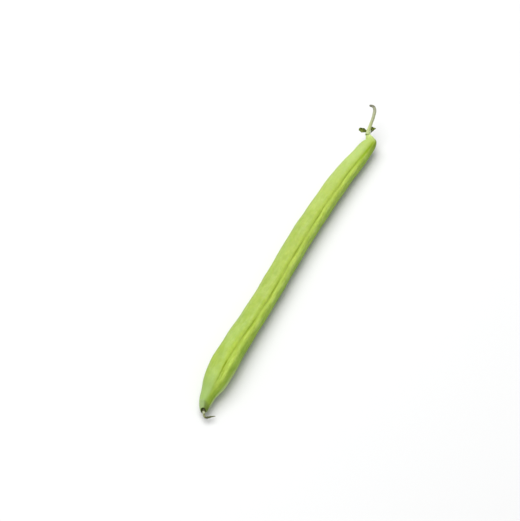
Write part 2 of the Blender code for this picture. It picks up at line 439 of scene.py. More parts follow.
length = pod_high.x - pod_low.x
along_values = [(pod_high.x - point.co.x) / length for point in pod.data.vertices]
turns = []
for point, along in zip(pod.data.vertices, along_values):
    x = point.co.x
    wandering = SLOW_WANDER * wander(x, 16 * MM, 0.5) + QUICK_WANDER * wander(x, 4.0 * MM, 7.5)
    seam = SEAM_ROLL - SEAM_TWIST * ramp(along, TWIST_START, TWIST_END) + wandering
    turns.append(ring_angle(point.co, ring_middle(x)) - seam)
new_attribute(pod.data, "side", [math.sin(turn) for turn in turns])
new_attribute(pod.data, "top", [math.cos(turn) for turn in turns])
new_attribute(pod.data, "along", along_values)
print("marked the place of", len(turns), "points")

# %% [markdown]
# Between two seeds the halves of a pod part a little and press together again, so a fourth number
# (`opening`) rises and falls along the seam about every 20 mm. The last one (`hollow`) marks the
# little hollow at the tip, which sags a little at its lower side.

# %% Mark where the seam opens, and the hollow at the tip
def wave(turns):
    """A smooth wave, 1 at every whole number and 0 halfway between two of them."""
    return 0.5 + 0.5 * math.cos(2 * math.pi * turns)


OPENING_FIRST, OPENING_STEP, OPENING_CROWDING = 0.186, 0.1615, 1.10
opening_values = [
    wave((abs(along - OPENING_FIRST) / OPENING_STEP) ** OPENING_CROWDING) for along in along_values
]
new_attribute(pod.data, "opening", opening_values)

tip_x, tip_a, tip_b = rings[-1]
tip_middle, tip_radius = ring_middle(tip_x), (tip_b[0] - tip_a[0]) / 2
# all as shares of the tip's radius
HOLLOW_START, HOLLOW_END = 0.98, 0.78
HOLLOW_SAG, SAG_START = 0.14, -0.2
hollow_values = []
for point in pod.data.vertices:
    from_middle = (point.co - tip_middle) / tip_radius
    away = from_middle.yz.length + HOLLOW_SAG * min(0, from_middle.z - SAG_START)
    at_tip = point.co.x < tip_x + 0.5 * MM
    hollow_values.append(ramp(away, HOLLOW_START, HOLLOW_END) if at_tip else 0.0)
new_attribute(pod.data, "hollow", hollow_values)
print("the hollow has", sum(value > 0.5 for value in hollow_values), "points")

# %% [markdown]
# The flower broke off at a slant, so the hollow looks a little upwards, and the very tip bends
# towards the seam. No one operator gives such a fading slant, so the last millimetres are moved point
# by point, as a sculptor's brush would: the top of each ring goes back and its bottom comes forward.

# %% Slant the tip
TIP_SLANT, SLANT_LENGTH = 0.55, 2.6 * MM
TIP_BEND = Vector((-0.30, -0.50, 0)) * MM
for point in pod.data.vertices:
    nearness = ramp(point.co.x, tip_x + SLANT_LENGTH, tip_x)
    above_middle = point.co.z - tip_middle.z
    point.co += TIP_BEND * nearness ** 2
    point.co.x += TIP_SLANT * above_middle * nearness
print("the tip now reaches x =", round(mesh_box(pod.data)[0].x / MM, 2), "mm")

# %% [markdown]
# Two rounds of Catmull-Clark subdivision give the fine skin. Modifiers are applied at once, so that
# the next step can work on the points that they made.

# %% Smooth the pod
def add_modifier(obj, kind, **settings):
    """Adds a modifier with its settings and applies it."""
    pick_only(obj)
    bpy.ops.object.modifier_add(type=kind)
    modifier = obj.modifiers[-1]
    for key, value in settings.items():
        setattr(modifier, key, value)
    bpy.ops.object.modifier_apply(modifier=modifier.name)


add_modifier(pod, "SUBSURF", levels=2, render_levels=2)
marks = {name: [0.0] * len(pod.data.vertices) for name in ("side", "top", "along", "opening")}
for name, values in marks.items():
    pod.data.attributes[name].data.foreach_get("value", values)
print("the fine skin has", len(pod.data.vertices), "points")

# %% [markdown]
# The seam is the line where the pod's two halves meet: a groove between two ridges, with a thin rib
# opposite it on the back. Rings of extra edges could draw it, but it wanders and fades at both ends.
# So it is pressed into the fine skin by Displace modifiers, which push along the normals as far as a
# vertex group says. The groups are painted by formula from each point's angle to the seam, and the
# groove's depth changes along the pod as it does where the halves have grown together.

# %% Press the seam into the skin
def push(obj, name, strength, weights):
    """Moves the skin along its normals by strength, times each point's weight from 0 to 1."""
    group = obj.vertex_groups.new(name=name)
    for i, weight in enumerate(weights):
        if weight > 0.004:
            group.add([i], min(1.0, weight), "REPLACE")
    add_modifier(obj, "DISPLACE", strength=strength, mid_level=0.0, vertex_group=name)


def bell(value, middle, width):
    """A smooth bump: 1 at the middle, and nearly 0 two widths away."""
    return math.exp(-((value - middle) / width) ** 2)


GROOVE_DEPTH, GROOVE_WIDTH = 0.15 * MM, 3.2
# the groove's depth where the halves are pressed together, what an opening adds, and chance
SHUT_DEPTH, OPENING_DEPTH, CHANCE_DEPTH = 0.30, 0.55, 0.7
# where each ridge is, in degrees from the seam towards -Y, its width and its height
RIDGES = {
    "right_shoulder": (20.0, 13.0, 0.24 * MM),
    "right_ridge": (9.0, 5.0, 0.05 * MM),
    "left_ridge": (-11.0, 7.0, 0.07 * MM),
}
BACK_RIB_WIDTH, BACK_RIB_HEIGHT = 5.0, 0.10 * MM

places = []
for side, top, along, opening, point in zip(*marks.values(), pod.data.vertices):
    ends = ramp(along, 0.05, 0.13) * ramp(along, 0.965, 0.90)
    uneven = SHUT_DEPTH + OPENING_DEPTH * opening + CHANCE_DEPTH * wander(point.co.x, 3.4 * MM, 0)
    places.append((math.degrees(math.atan2(side, top)), ends, max(0.0, uneven)))
push(pod, "groove", -GROOVE_DEPTH,
     [bell(turn, 0, GROOVE_WIDTH) * ends * uneven for turn, ends, uneven in places])
for name, (middle, width, height) in RIDGES.items():
    push(pod, name, height, [bell(turn, middle, width) * ends for turn, ends, _ in places])
push(pod, "back_rib", BACK_RIB_HEIGHT,
     [bell(abs(turn), 180, BACK_RIB_WIDTH) * ends for turn, ends, _ in places])
print("the groove is", round(GROOVE_DEPTH / MM, 2), "mm deep, in", len(places), "points")

# %% [markdown]
# A living pod is never perfectly even, so two gentle displacements follow, one of soft waves and one
# of small dents. At last whatever would reach below the table is pressed flat on it, as the weight of
# the pod does.

# %% Give the pod life
def crumple(obj, size, strength):
    """Pushes the skin out and in by half the strength, in clouds of the given size."""
    texture = bpy.data.textures.new(obj.name, "CLOUDS")
    texture.noise_scale = size
    texture.noise_depth = 1
    add_modifier(obj, "DISPLACE", texture=texture, strength=strength, mid_level=0.5)


def pick_points(mesh, test):
    """Selects the points that pass a test, in edit mode."""
    shape = bmesh.from_edit_mesh(mesh)
    for point in shape.verts:
        point.select = test(point.co)
    shape.select_flush_mode()
    bmesh.update_edit_mesh(mesh)


def smooth_shade(obj):
    """Shades the faces as one smooth skin."""
    pick_only(obj)
    bpy.ops.object.shade_smooth()


TABLE_GAP = 0.02 * MM
crumple(pod, size=9 * MM, strength=0.30 * MM)
crumple(pod, size=2.5 * MM, strength=0.06 * MM)
pick_only(pod)
bpy.ops.object.mode_set(mode="EDIT")
pick_points(pod.data, lambda co: co.z < TABLE_GAP)
bpy.ops.transform.resize(value=(1, 1, 0), center_override=(0, 0, TABLE_GAP))
bpy.ops.object.mode_set(mode="OBJECT")
smooth_shade(pod)
print(len(pod.data.polygons), "faces; the pod spans",
      [[round(c / MM, 2) for c in corner] for corner in mesh_box(pod.data)])

# %% [markdown]
# ## Effects that several skins share
# Leafy skins look alive because of two things: fibres that run along the piece, and soft blotches
# where the tissue is thicker or thinner. Both are node groups with named sockets, built once. A group
# only puts out a number between 0 and 1, and each material decides what to do with it. Fibres are
# noise that is squeezed across the piece and stretched along it.

# %% Shared effect: fibres
def tree_of(*values):
    """The tree that some values belong to: a node's output knows its tree, and a number has none."""
    return next(value.id_data for value in values if isinstance(value, bpy.types.NodeSocket))


def maths(operation, *values):
    """One sum of the Math node; each value is a number or another node's output."""
    made = node(tree_of(*values), "ShaderNodeMath", {"operation": operation})
    for socket, value in zip(made.inputs, values):
        feed(socket, value)
    return made.outputs[0]


def new_group(name, output, **numbers):
    """A shader node group that takes a place and some numbers, and puts out one number."""
    tree = bpy.data.node_groups.new(name, "ShaderNodeTree")
    tree.interface.new_socket("Place", in_out="INPUT", socket_type="NodeSocketVector")
    for label, default in numbers.items():
        label = label.replace("_", " ")
        socket = tree.interface.new_socket(label, in_out="INPUT", socket_type="NodeSocketFloat")
        socket.default_value = default
    tree.interface.new_socket(output, in_out="OUTPUT", socket_type="NodeSocketFloat")
    given = tree.nodes.new("NodeGroupInput")
    return tree, given.outputs, tree.nodes.new("NodeGroupOutput").inputs[output]


FIBRES, given, out = new_group("fibres", "Fibre", Lines_per_metre=2500.0, Stretch=14.0)
along = maths("DIVIDE", 1.0, given["Stretch"])
squeezed = node(FIBRES, "ShaderNodeCombineXYZ", X=along, Y=1.0, Z=1.0)
stretched = node(FIBRES, "ShaderNodeVectorMath", {"operation": "MULTIPLY"})
feed(stretched.inputs[0], given["Place"])
feed(stretched.inputs[1], squeezed.outputs[0])
lines = node(FIBRES, "ShaderNodeTexNoise", Vector=stretched.outputs[0],
             Scale=given["Lines per metre"], Detail=4.0, Roughness=0.6)
feed(out, fade(lines.outputs["Fac"], 0.3, 0.7))
print("the fibres take", len(FIBRES.nodes), "nodes")

# %% [markdown]
# The blotches are soft uneven patches with smaller ones inside them. A third effect makes small round
# specks: a Voronoi pattern is cut in cells, and each cell holds one speck or none.

# %% Shared effects: blotches and specks
BLOTCHES, given, out = new_group("blotches", "Blotch", Patches_per_metre=150.0, Detail=4.0)
cloud = node(BLOTCHES, "ShaderNodeTexNoise", Vector=given["Place"], Scale=given["Patches per metre"],
             Detail=given["Detail"], Roughness=0.55, Distortion=0.4)
feed(out, fade(cloud.outputs["Fac"], 0.32, 0.68))

SPECKS, given, out = new_group("specks", "Speck", Specks_per_metre=1500.0, Size=0.25, Share=0.5)
cells = node(SPECKS, "ShaderNodeTexVoronoi", Vector=given["Place"], Scale=given["Specks per metre"])
inside = maths("LESS_THAN", cells.outputs["Distance"], given["Size"])
chance = node(SPECKS, "ShaderNodeSeparateColor", Color=cells.outputs["Color"]).outputs[0]
kept = maths("LESS_THAN", chance, given["Share"])
feed(out, maths("MULTIPLY", inside, kept))
print("the blotches take", len(BLOTCHES.nodes), "nodes and the specks", len(SPECKS.nodes))

# %% [markdown]
# ## The pod's skin
# Seen closely, the skin is a mid green with paler, yellower ridges on both sides of the seam, and an
# olive line in the groove, which breaks off and starts again. The right ridge also holds painted
# light, and the groove line painted shade. It could be one green with noise over it, but then the
# seam, the shoulder and the tip would look alike. So the recipe starts from the numbers that each
# point keeps, and from patterns of several sizes made with the shared effects.

# %% The pod's marks and patterns
def attribute(tree, name):
    """A number that every point of the mesh keeps."""
    return node(tree, "ShaderNodeAttribute", {"attribute_name": name}).outputs["Fac"]


def effect(group, place, **inputs):
    """Puts a shared effect in a material and returns its output."""
    return node(place.id_data, "ShaderNodeGroup", {"node_tree": group}, Place=place, **inputs).outputs[0]


pod_skin, tree, shader = new_material("pod_skin")
place = node(tree, "ShaderNodeTexCoord").outputs["Object"]
side, top, along, opening, hollow = (
    attribute(tree, name) for name in ("side", "top", "along", "opening", "hollow")
)
broad = effect(BLOTCHES, place, Patches_per_metre=45.0, Detail=2.0)
blotch = effect(BLOTCHES, place, Patches_per_metre=170.0, Detail=5.0)
mottle = effect(BLOTCHES, place, Patches_per_metre=430.0, Detail=3.0)
milk = effect(FIBRES, place, Lines_per_metre=260.0, Stretch=3.0)
streak = effect(FIBRES, place, Lines_per_metre=520.0, Stretch=9.0)
short = effect(FIBRES, place, Lines_per_metre=640.0, Stretch=2.6)
dash = effect(FIBRES, place, Lines_per_metre=900.0, Stretch=4.0)
fleck = effect(FIBRES, place, Lines_per_metre=1100.0, Stretch=2.2)
fibre = effect(FIBRES, place, Lines_per_metre=1500.0, Stretch=12.0)
above = fade(top, 0.0, 0.3)
print("the pod's marks and patterns take", len(tree.nodes), "nodes")

# %% [markdown]
# The body comes first: deep green on the right flank, brightest beside the seam, paler and cooler
# towards the left flank. These bands are partly painted light: the darkest right flank is painted
# shade, the band just right of the seam is brightened with painted light, and the bluer left flank
# holds a painted sheen. A ramp over `side` holds these bands, and streaks push their borders to and
# fro. Soft patches then lie over it like thin glazes. A glaze is always the same recipe, a colour
# mixed in by an amount where its masks are, so one helper writes it.

# %% The pod's body colour
def mix_colour(amount, first, second, blend="MIX"):
    """Mixes two colours; amount is a number or an output."""
    made = node(tree_of(amount, first, second), "ShaderNodeMix", {"data_type": "RGBA", "blend_type": blend})
    # the Mix node has inputs for every kind of data: for colours they are number 0, 6 and 7
    for number, value in ((0, amount), (6, first), (7, second)):
        feed(made.inputs[number], value)
    return made.outputs[2]


def colour_ramp(value, stops):
    """A ramp through (place, colour) stops."""
    made = node(value.id_data, "ShaderNodeValToRGB", Fac=value)
    ramp_stops = made.color_ramp.elements
    while len(ramp_stops) < len(stops):
        ramp_stops.new(0.5)
    for stop, (place, colour) in zip(ramp_stops, stops):
        stop.position = place
        stop.color = colour
    return made.outputs["Color"]


def times(*values):
    """The product of all the values."""
    product, *others = values
    for value in others:
        product = maths("MULTIPLY", product, value)
    return product


def glaze(under, over, amount, *masks):
    """Mixes a colour over another by an amount from 0 to 1, only where all the masks are."""
    return mix_colour(times(*masks, amount), under, over)


def sway(value, pattern, width):
    """Pushes a value to and fro with a pattern, by half the width each way."""
    return maths("ADD", value, maths("MULTIPLY_ADD", pattern, width, -width / 2))


# from the left flank, 0, over the seam, 0.5, to the right flank, 1: the darkest stops on the right
# are painted shade, the bright ones right of the seam painted light, the bluer left ones painted sheen
ROUND_THE_POD_WITH_PAINTED_LIGHT = (
    (0.02, rgb(0.265, 0.385, 0.095)), (0.15, rgb(0.315, 0.43, 0.11)), (0.30, rgb(0.35, 0.475, 0.096)),
    (0.44, rgb(0.365, 0.49, 0.075)), (0.58, rgb(0.425, 0.565, 0.095)), (0.70, rgb(0.41, 0.575, 0.09)),
    (0.80, rgb(0.32, 0.525, 0.036)), (0.90, rgb(0.195, 0.38, 0.003)), (0.98, rgb(0.13, 0.29, 0.001)),
)
SPRING_GREEN, STRAW_GREEN = rgb(0.4, 0.52, 0.06), rgb(0.43, 0.51, 0.06)
BLOOM_AND_PAINTED_SHEEN, GRASS_GREEN = rgb(0.43, 0.56, 0.19), rgb(0.33, 0.53, 0.04)
WARM_GREEN, UNDERSIDE_PAINTED_SHADE = rgb(0.47, 0.535, 0.115), rgb(0.28, 0.41, 0.045)

swayed_side = sway(side, streak, 0.22)
body = colour_ramp(fade(swayed_side, -1.0, 1.0, curve="LINEAR"), ROUND_THE_POD_WITH_PAINTED_LIGHT)
colour = glaze(body, SPRING_GREEN, 0.45, blotch)
colour = glaze(colour, STRAW_GREEN, 0.30, broad)
# on the left flank a milky pale: partly the wax bloom, partly a painted sheen
colour = glaze(colour, BLOOM_AND_PAINTED_SHEEN, 0.45, fade(milk, 0.35, 0.9), fade(side, 0.1, -0.3))
colour = glaze(colour, GRASS_GREEN, 0.50, fade(milk, 0.30, 0.85), fade(side, 0.30, 0.65))
# the long middle is warmer on the left, and the underside is darkened with painted shade
colour = glaze(colour, WARM_GREEN, 0.40, fade(along, 0.14, 0.26), fade(along, 0.80, 0.62),
               fade(side, 0.3, 0.0))
colour = glaze(colour, UNDERSIDE_PAINTED_SHADE, 0.5, fade(top, 0.2, -0.6))
print("with its body colour the skin takes", len(tree.nodes), "nodes")

# %% [markdown]
# The ridges beside the seam are paler, where the skin is thick and dry, and the right one is
# brightened further with painted light. The groove between them is olive, darkened further with
# painted shade, as the inside of a crease would be. A plain line would look drawn with a ruler. This
# one wobbles with the streaks, breaks off where the dashes and the openings say so, and fades at
# both ends.

# %% The seam's colours
def band(value, centre, half_width, softness):
    """1 in a band round the centre value, fading to 0 over the softness."""
    away = maths("ABSOLUTE", maths("SUBTRACT", value, centre))
    return fade(away, half_width + softness, half_width)


LEFT_RIDGE, RIGHT_RIDGE_PALE_AND_PAINTED_LIGHT = rgb(0.43, 0.55, 0.06), rgb(0.62, 0.76, 0.15)
GROOVE_OLIVE_AND_PAINTED_SHADE = rgb(0.255, 0.345, 0.008)

seam_ends = times(fade(along, 0.05, 0.13), fade(along, 0.975, 0.925), above)
colour = glaze(colour, LEFT_RIDGE, 0.35, band(side, -0.18, 0.05, 0.16), seam_ends)
# the right ridge: paler skin, brightened further with painted light
right_ridge = times(band(side, 0.21, 0.07, 0.20), seam_ends,
                    fade(dash, 0.0, 1.0, 0.40, 0.85), fade(opening, 0.0, 1.0, 0.40, 1.0))
colour = mix_colour(right_ridge, colour, RIGHT_RIDGE_PALE_AND_PAINTED_LIGHT)

# the groove line: olive skin with painted shade, strongest where the halves part
away = maths("ABSOLUTE", sway(side, streak, 0.08))
away = maths("SUBTRACT", away, times(dash, 0.055))
away = maths("SUBTRACT", away, fade(along, 0.85, 0.91, 0.0, 0.030))
open_part = maths("ADD", fade(opening, 0.0, 1.0, 0.15, 0.85),
                  fade(along, 0.76, 0.82, 0.0, 0.20))
groove = times(fade(away, 0.095, 0.0), seam_ends, fade(dash, 0.1, 0.8, 0.30, 0.75),
               open_part, fade(along, 0.20, 0.36, 0.6, 1.0), fade(along, 0.64, 0.74, 1.0, 1.4))
colour = mix_colour(groove, colour, GROOVE_OLIVE_AND_PAINTED_SHADE)
print("with its seam the skin takes", len(tree.nodes), "nodes")

# %% [markdown]
# Fibres run the whole length, and the tissue under the skin is darker and lighter in spots. The right
# ridge and flank are rougher than the rest, with short streaks, darker and paler. A darker spot isn't
# another paint but the same skin with less light in it, so it multiplies the colour that lies there.

# %% Fibres, spots and streaks
def darken(colour, glass, amount, *masks):
    """Dims a colour as tinted glass over it would, only where all the masks are."""
    return glaze(colour, mix_colour(1.0, colour, glass, "MULTIPLY"), amount, *masks)


FIBRE_GREEN, PALE_STREAK = rgb(0.23, 0.37, 0.02), rgb(0.54, 0.7, 0.18)
DARK_MOTTLE, DARK_FLECK, DARK_STREAK = rgb(0.72, 0.8, 0.6), rgb(0.8, 0.86, 0.66), rgb(0.66, 0.74, 0.5)

colour = glaze(colour, FIBRE_GREEN, 0.20, fibre)
colour = darken(colour, DARK_MOTTLE, 0.35, mottle)
colour = darken(colour, DARK_FLECK, 0.55, fleck)
rough_side = times(fade(side, 0.12, 0.35), above)
colour = darken(colour, DARK_STREAK, 0.40, fade(short, 0.45, 0.95), rough_side)
colour = glaze(colour, PALE_STREAK, 0.28,
               fade(short, 0.55, 0.05), band(side, 0.34, 0.10, 0.22), above)
print("with its fine marks the skin takes", len(tree.nodes), "nodes")

# %% [markdown]
# Towards the stalk the skin pales, above all on the left of the seam, and the seam itself is only a
# soft olive band. The neck is palest, where the calyx kept the light off, with a ragged border, and
# the right shoulder, which faces away from the light, has a darker olive patch of painted shade.

# %% The shoulder and the neck
PALE_SHOULDER, SOFT_SEAM = rgb(0.47, 0.58, 0.19), rgb(0.235, 0.385, 0.000)
PALE_NECK, SHOULDER_PAINTED_SHADE = rgb(0.56, 0.66, 0.26), rgb(0.176, 0.272, 0.000)

colour = glaze(colour, PALE_SHOULDER, 0.50, fade(along, 0.42, 0.05), fade(side, 0.05, -0.6))
colour = glaze(colour, SOFT_SEAM, 0.70, fade(along, 0.015, 0.05), fade(along, 0.17, 0.08),
               band(side, 0.03, 0.03, 0.14), above)
colour = glaze(colour, PALE_NECK, 0.70, fade(sway(along, streak, 0.012), 0.032, 0.006))
# painted shade on the right shoulder, the side away from the light
colour = glaze(colour, SHOULDER_PAINTED_SHADE, 0.95, fade(along, 0.085, 0.020), fade(side, 0.0, 0.40),
               fade(along, 0.004, 0.024))
print("with its stalk end the skin takes", len(tree.nodes), "nodes")

# %% [markdown]
# Towards the tip the skin is cooler on the left and deeper on the right, then darker at its very end,
# where it has begun to dry. A pale rim on the left is a painted highlight, and a pale band low on the
# right flank a painted reflection of the table. The hollow is dry and dark, darkened further with
# painted shade.

# %% The tip's colours
# where each glaze starts and is full, first along the pod and then round it, its amount and colour
TIP_GLAZES = {
    "cool_left": ((0.89, 0.97), (0.25, -0.35), 0.85, rgb(0.31, 0.45, 0.13)),
    "deep_right": ((0.93, 0.97), (-0.25, 0.25), 0.6, rgb(0.21, 0.33, 0.02)),
    # a painted highlight on the left rim, and a painted reflection of the table low on the right flank
    "left_rim_painted_highlight": ((0.975, 0.99), (-0.1, -0.6), 0.7, rgb(0.4, 0.54, 0.23)),
    "lower_right_painted_reflection": ((0.82, 0.94), (0.66, 0.92), 0.80, rgb(0.49, 0.63, 0.25)),
}
DARK_END, DRY_END, HOLLOW_DRY_AND_PAINTED_SHADE = rgb(0.2, 0.33, 0.04), rgb(0.11, 0.15, 0.03), rgb(0.045, 0.06, 0.01)

for lengthwise, crosswise, amount, tip_colour in TIP_GLAZES.values():
    colour = glaze(colour, tip_colour, amount, fade(along, *lengthwise), fade(side, *crosswise))
colour = glaze(colour, DARK_END, 0.5, band(side, -0.05, 0.15, 0.35), fade(along, 0.955, 0.980))
colour = glaze(colour, DRY_END, 0.75,
               fade(side, -0.75, -0.25, 0.3, 1.0), fade(along, 0.978, 0.998))
# the hollow: dry tissue, darkened further with painted shade
colour = mix_colour(hollow, colour, HOLLOW_DRY_AND_PAINTED_SHADE)
print("with its tip the skin takes", len(tree.nodes), "nodes")

# %% [markdown]
# The skin is waxy but not shiny. Its gloss varies with the blotches, and a fine net and the fibres
# give a low bump. A little light goes into the flesh and comes out green beside where it went in:
# that is subsurface scattering, and without it the pod would look like painted wood.

# %% The pod's gloss and bump
def dress(shader, colour, roughness, height, strength, depth):
    """Gives the shader its colour, its roughness and a bump of that depth."""
    bump = node(height.id_data, "ShaderNodeBump", Height=height, Strength=strength, Distance=depth)
    feed(shader.inputs["Base Color"], colour)
    feed(shader.inputs["Roughness"], roughness)
    feed(shader.inputs["Normal"], bump.outputs["Normal"])


net = node(tree, "ShaderNodeTexVoronoi", {"feature": "DISTANCE_TO_EDGE"}, Vector=place, Scale=1600.0)
height = maths("ADD", times(net.outputs["Distance"], 0.5), times(fibre, 0.6))
dress(shader, colour, fade(blotch, 0.0, 1.0, 0.42, 0.52), height, 0.35, 0.05 * MM)
shader.inputs["Specular IOR Level"].default_value = 0.15
shader.inputs["Subsurface Weight"].default_value = 0.20
shader.inputs["Subsurface Radius"].default_value = (0.6, 1.0, 0.25)
shader.inputs["Subsurface Scale"].default_value = 1.2 * MM
pod.data.materials.append(pod_skin)
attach(pod, "root")
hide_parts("pod")
print("the pod's skin takes", len(tree.nodes), "nodes in all")

# %% [markdown]
# ## The stalk
# The thin stalk carried the pod on the plant. It leaves the calyx, bends over and ends in a dry,
# slightly thickened joint, where it came off. A curve with a radius at each point is the natural way
# to make it, since its hook is drawn with a few points. Its section is a circle with low ribs, drawn
# first, because a smooth round wire would never look grown.

# %% A helper that draws a tapering, ribbed stem
def draw_stem(name, route, ribs, rib_height, sides=24):
    """A stem through (place, radius) points, in metres, with ribs along it, as a closed mesh."""
    pick_nothing()
    bpy.ops.mesh.primitive_circle_add(vertices=sides, radius=1.0)
    section = named(name + "_section")
    for i, point in enumerate(section.data.vertices):
        point.co *= 1 + rib_height * math.cos(2 * math.pi * ribs * i / sides)
    bpy.ops.object.convert(target="CURVE")
    section = bpy.context.object
    pick_nothing()
    bpy.ops.curve.primitive_nurbs_path_add(radius=1.0)
    stem = named(name)
    curve = stem.data
    curve.splines.clear()
    spline = curve.splines.new("NURBS")
    spline.points.add(len(route) - 1)
    for point, (place, radius) in zip(spline.points, route):
        point.co = (*place, 1.0)
        point.radius = radius
    spline.use_endpoint_u = True
    spline.order_u = 4
    curve.resolution_u = 8
    curve.twist_mode = "MINIMUM"
    curve.bevel_mode = "OBJECT"
    curve.bevel_object = section
    curve.use_fill_caps = True
    bpy.ops.object.convert(target="MESH")
    stem = bpy.context.object
    stem.name = stem.data.name = name
    bpy.data.objects.remove(section)
    turn_faces_out(stem)
    return stem


def mark_along(obj, route):
    """Stores at each point how far along the route it lies, from 0 to 1."""
    lengths = [0.0]
    for (a, _), (b, _) in zip(route, route[1:]):
        lengths.append(lengths[-1] + (b - a).length)
    values = []
    for point in obj.data.vertices:
        best = None
        for (a, _), (b, _), start in zip(route, route[1:], lengths):
            part = min(1.0, max(0.0, (point.co - a).dot(b - a) / (b - a).length_squared))
            away = (a.lerp(b, part) - point.co).length
            if best is None or away < best[0]:
                best = (away, (start + part * (b - a).length) / lengths[-1])
        values.append(best[1])
    new_attribute(obj.data, "along", values)


# %% [markdown]
# The stalk's route is given as steps from the pod's stalk end, which are easier to read and to change
# than places in the frame. It rises from the calyx, bends over and comes down a little at its joint.
# Lumps are pushed into it last, since no stalk is as even as a wire.

# %% The stalk
STALK_END = Vector((66.51, -0.98, 5.85)) * MM
# steps from there to each point, and the stalk's half thickness, in mm
STALK_ROUTE = (
    ((0.45, 0.10, 0.15), 0.74), ((1.10, 0.22, 0.50), 0.80), ((1.80, 0.28, 0.95), 0.74),
    ((3.0, 0.32, 1.7), 0.68), ((4.4, 0.40, 2.7), 0.66), ((6.0, 0.50, 3.6), 0.68),
    ((8.0, 0.85, 4.4), 0.68), ((9.7, 1.60, 4.75), 0.66), ((10.5, 2.45, 4.70), 0.60),
    ((10.75, 3.20, 4.52), 0.54), ((10.75, 3.60, 4.42), 0.54), ((10.70, 3.98, 4.34), 0.50),
    ((10.67, 4.28, 4.28), 0.36), ((10.66, 4.42, 4.25), 0.08),
)
stalk_route = [(STALK_END + Vector(step) * MM, radius * MM) for step, radius in STALK_ROUTE]
stalk = draw_stem("hooked_stalk", stalk_route, ribs=5, rib_height=0.07)
add_modifier(stalk, "SUBSURF", levels=1, render_levels=1)
mark_along(stalk, stalk_route)
crumple(stalk, size=1.1 * MM, strength=0.16 * MM)
smooth_shade(stalk)
print("the stalk has", len(stalk.data.polygons), "faces")


# %% [markdown]
# The stalk dries from its free end: fresh green at the calyx, then grey-olive, then a dark brown
# joint. The fibres show as fine lines, and a fine bump breaks up the shine. Every small piece has
# blotches and fibres in its skin, so a helper starts each recipe with them.

# %% The stalk's skin
def start_skin(name, patches, detail, lines, stretch):
    """A new material with its place, blotches and fibres, for a small piece."""
    material, tree, shader = new_material(name)
    place = node(tree, "ShaderNodeTexCoord").outputs["Object"]
    blotch = effect(BLOTCHES, place, Patches_per_metre=patches, Detail=detail)
    fibre = effect(FIBRES, place, Lines_per_metre=lines, Stretch=stretch)
    return material, tree, shader, place, blotch, fibre


# where each colour starts and is full along the stalk
STALK_DRIES = (
    (0.12, 0.45, rgb(0.43, 0.46, 0.26)),
    (0.45, 0.72, rgb(0.34, 0.355, 0.235)),
    (0.72, 0.88, rgb(0.145, 0.145, 0.105)),
)
stalk_skin, tree, shader, place, blotch, fibre = start_skin("stalk_skin", 900.0, 4.0, 5000.0, 8.0)
uneven = sway(attribute(tree, "along"), blotch, 0.16)
colour = mix_colour(blotch, rgb(0.48, 0.57, 0.19), rgb(0.56, 0.63, 0.26))
for start, full, dry_colour in STALK_DRIES:
    colour = mix_colour(fade(uneven, start, full), colour, dry_colour)
colour = glaze(colour, rgb(0.17, 0.17, 0.06), 0.35, fibre)
dress(shader, colour, fade(uneven, 0.2, 0.9, 0.48, 0.75), fibre, 0.6, 0.06 * MM)
stalk.data.materials.append(stalk_skin)
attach(stalk, "root")
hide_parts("stalk")
print("the stalk's skin takes", len(tree.nodes), "nodes")

# %% [markdown]
# ## The calyx
# The calyx is the small green bell that held the flower. After the flower drops, it stays as a cup
# round the pod's neck, with five short teeth. It could be spun from a profile, but the teeth would
# still have to be pulled out, so it is drawn from a ring, like the pod: from the stalk out over the
# bell's floor and along its wall. At the rim a formula pulls the points out in five waves.

# %% The calyx
CALYX_AXIS = Vector((0.93, 0.27, 0.25))
CALYX_SIDES = 30
TEETH = 5
# distance along the axis from the pod's stalk end towards the stalk, and the outer radius, in mm
CALYX_PROFILE = ((1.55, 0.80), (1.35, 0.89), (1.10, 0.95), (0.80, 0.99), (0.40, 1.01), (-0.05, 1.04),
                 (-0.42, 1.07), (-0.72, 1.08))
TOOTH_REACH, TOOTH_TURN, TOOTH_SHARPNESS = 0.55, 0.4, 1.5
CALYX_WALL = 0.16


def lay(obj, start, along, across):
    """Moves a piece that was made along X to its start, its X turned to `along` and its Y to `across`."""
    along = along.normalized()
    up = along.cross(across).normalized()
    turn = Matrix((along, up.cross(along), up)).transposed().to_4x4()
    obj.data.transform(Matrix.Translation(start) @ turn)
    obj.data.update()


pick_nothing()
first_x, first_radius = CALYX_PROFILE[0]
bpy.ops.mesh.primitive_circle_add(
    vertices=CALYX_SIDES, radius=first_radius * MM, location=(first_x * MM, 0, 0),
    rotation=(0, math.radians(90), 0)
)
bpy.ops.object.transform_apply(location=True, rotation=True, scale=True)
calyx = named("calyx_cup")
bpy.ops.object.mode_set(mode="EDIT")
bpy.ops.mesh.select_all(action="SELECT")
for (x0, r0), (x1, r1) in zip(CALYX_PROFILE, CALYX_PROFILE[1:]):
    next_ring(((x1 - x0) * MM, 0, 0), (1, r1 / r0, r1 / r0), (x1 * MM, 0, 0))
bpy.ops.object.mode_set(mode="OBJECT")
rim_x = CALYX_PROFILE[-1][0] * MM
dry_and_painted_shade = [ramp(point.co.x, rim_x + 0.5 * MM, rim_x) for point in calyx.data.vertices]
for point in calyx.data.vertices:
    if abs(point.co.x - rim_x) < 1e-6:
        turn = math.atan2(point.co.y, point.co.z)
        tooth = max(0.0, math.cos(TEETH * turn + TOOTH_TURN)) ** TOOTH_SHARPNESS
        point.co.x -= tooth * TOOTH_REACH * MM
new_attribute(calyx.data, "dry_and_painted_shade", dry_and_painted_shade)
lay(calyx, STALK_END, CALYX_AXIS, Vector((0, 1, 0)))
turn_faces_out(calyx)
add_modifier(calyx, "SOLIDIFY", thickness=CALYX_WALL * MM, offset=-1)
add_modifier(calyx, "SUBSURF", levels=2, render_levels=2)
crumple(calyx, size=0.9 * MM, strength=0.14 * MM)
smooth_shade(calyx)
